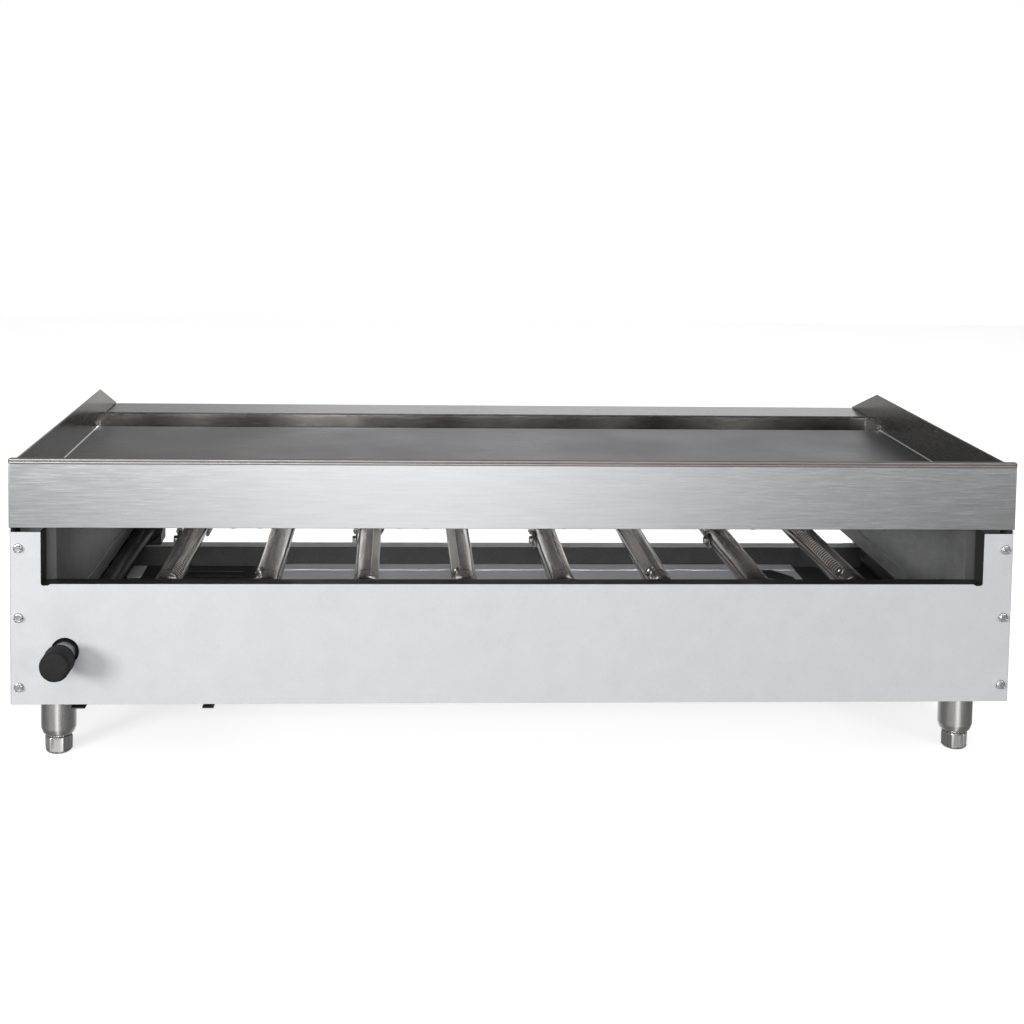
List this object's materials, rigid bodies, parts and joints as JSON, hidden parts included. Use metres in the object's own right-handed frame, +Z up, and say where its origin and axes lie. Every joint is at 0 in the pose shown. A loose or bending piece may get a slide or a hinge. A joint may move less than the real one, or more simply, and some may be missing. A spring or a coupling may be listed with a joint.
{
  "type": "countertop gas griddle",
  "caption": "Wide countertop gas griddle: flat steel plate with low side and rear splashes, front grease trough, U-shaped tube burners below, knobs, drawer and legs.",
  "frame": {"origin": "on the floor under the centre of the bounding box", "axes": "+Z up; the operator stands at -Y in front of the knobs and faces +Y, so +Y is the back with the gas inlet; +X is the operator's right"},
  "size_m": [1.2192, 0.788, 0.376],
  "materials": {
    "plate_steel": "ground and seasoned steel, matt",
    "stainless": "brushed stainless sheet",
    "satin_leg": "satin turned stainless",
    "rear_sheet": "silver-grey coated sheet",
    "liner_sheet": "aluminised sheet, dull",
    "black_steel": "black, satin",
    "pan_sheet": "aluminised sheet, dull",
    "burner_steel": "heat-tinted bare steel tube",
    "fitting_grey": "dull plated steel",
    "brass": "satin",
    "black_plastic": "black phenolic",
    "soft_cap": "soft moulded black",
    "zinc_screw": "bright zinc"
  },
  "bodies": {
    "cabinet": {"griddle_plate": "plate_steel", "splash_rear": "stainless", "splash_left": "stainless", "splash_right": "stainless", "grease_trough": "stainless", "front_ledge": "stainless", "side_panel_left": "stainless", "side_panel_right": "stainless", "control_panel": "stainless", "leg_1": "satin_leg", "leg_2": "satin_leg", "leg_3": "satin_leg", "leg_4": "satin_leg", "rear_panel": "rear_sheet", "liner_left": "liner_sheet", "liner_right": "liner_sheet", "opening_frame": "black_steel", "front_rail": "black_steel", "base_left": "black_steel", "base_right": "black_steel", "drawer_rail": "black_steel", "burner_rest_rear": "black_steel", "burner_rest_front": "black_steel", "gas_supply_pipe": "black_steel", "gas_manifold": "black_steel", "floor_pan": "pan_sheet", "burner_1": "burner_steel", "burner_2": "burner_steel", "burner_3": "burner_steel", "burner_4": "burner_steel", "pilot_1": "fitting_grey", "pilot_2": "fitting_grey", "pilot_3": "fitting_grey", "pilot_4": "fitting_grey", "inlet_nipple": "fitting_grey", "valve_1": "brass", "valve_2": "brass", "valve_3": "brass", "valve_4": "brass", "screw_1": "zinc_screw", "screw_2": "zinc_screw", "screw_3": "zinc_screw", "screw_4": "zinc_screw", "screw_5": "zinc_screw", "screw_6": "zinc_screw"},
    "knob_body_1": {"knob_1": "black_plastic"},
    "knob_body_2": {"knob_2": "black_plastic"},
    "knob_body_3": {"knob_3": "black_plastic"},
    "knob_body_4": {"knob_4": "black_plastic"},
    "shutter_body_1": {"air_shutter_1": "fitting_grey"},
    "shutter_body_2": {"air_shutter_2": "fitting_grey"},
    "shutter_body_3": {"air_shutter_3": "fitting_grey"},
    "shutter_body_4": {"air_shutter_4": "fitting_grey"},
    "foot_body_1": {"foot_1": "satin_leg"},
    "foot_body_2": {"foot_2": "satin_leg"},
    "foot_body_3": {"foot_3": "satin_leg"},
    "foot_body_4": {"foot_4": "satin_leg"},
    "drawer_body": {"grease_drawer": "stainless"},
    "cap_body": {"inlet_cap": "soft_cap"}
  },
  "joints": [
    {"name": "knob_turn_1", "type": "hinge", "parent": "cabinet", "child": "knob_body_1", "pos_m": [-0.3735, -0.356, 0.199], "axis": [0, -1, 0], "range_deg": [0, 150]},
    {"name": "knob_turn_2", "type": "hinge", "parent": "cabinet", "child": "knob_body_2", "pos_m": [-0.1245, -0.356, 0.199], "axis": [0, -1, 0], "range_deg": [0, 150]},
    {"name": "knob_turn_3", "type": "hinge", "parent": "cabinet", "child": "knob_body_3", "pos_m": [0.1245, -0.356, 0.199], "axis": [0, -1, 0], "range_deg": [0, 150]},
    {"name": "knob_turn_4", "type": "hinge", "parent": "cabinet", "child": "knob_body_4", "pos_m": [0.3735, -0.356, 0.199], "axis": [0, -1, 0], "range_deg": [0, 150]},
    {"name": "shutter_turn_1", "type": "hinge", "parent": "cabinet", "child": "shutter_body_1", "pos_m": [-0.3735, -0.271, 0.199], "axis": [0, -1, 0], "range_deg": [-40, 40]},
    {"name": "shutter_turn_2", "type": "hinge", "parent": "cabinet", "child": "shutter_body_2", "pos_m": [-0.1245, -0.271, 0.199], "axis": [0, -1, 0], "range_deg": [-40, 40]},
    {"name": "shutter_turn_3", "type": "hinge", "parent": "cabinet", "child": "shutter_body_3", "pos_m": [0.1245, -0.271, 0.199], "axis": [0, -1, 0], "range_deg": [-40, 40]},
    {"name": "shutter_turn_4", "type": "hinge", "parent": "cabinet", "child": "shutter_body_4", "pos_m": [0.3735, -0.271, 0.199], "axis": [0, -1, 0], "range_deg": [-40, 40]},
    {"name": "foot_screw_1", "type": "slide", "parent": "cabinet", "child": "foot_body_1", "axis": [0, 0, -1], "range_m": [0, 0.025]},
    {"name": "foot_screw_2", "type": "slide", "parent": "cabinet", "child": "foot_body_2", "axis": [0, 0, -1], "range_m": [0, 0.025]},
    {"name": "foot_screw_3", "type": "slide", "parent": "cabinet", "child": "foot_body_3", "axis": [0, 0, -1], "range_m": [0, 0.025]},
    {"name": "foot_screw_4", "type": "slide", "parent": "cabinet", "child": "foot_body_4", "axis": [0, 0, -1], "range_m": [0, 0.025]},
    {"name": "drawer_slide", "type": "slide", "parent": "cabinet", "child": "drawer_body", "axis": [0, -1, 0], "range_m": [0, 0.15]},
    {"name": "cap_pull", "type": "slide", "parent": "cabinet", "child": "cap_body", "axis": [0, 1, 0], "range_m": [0, 0.06]}
  ]
}
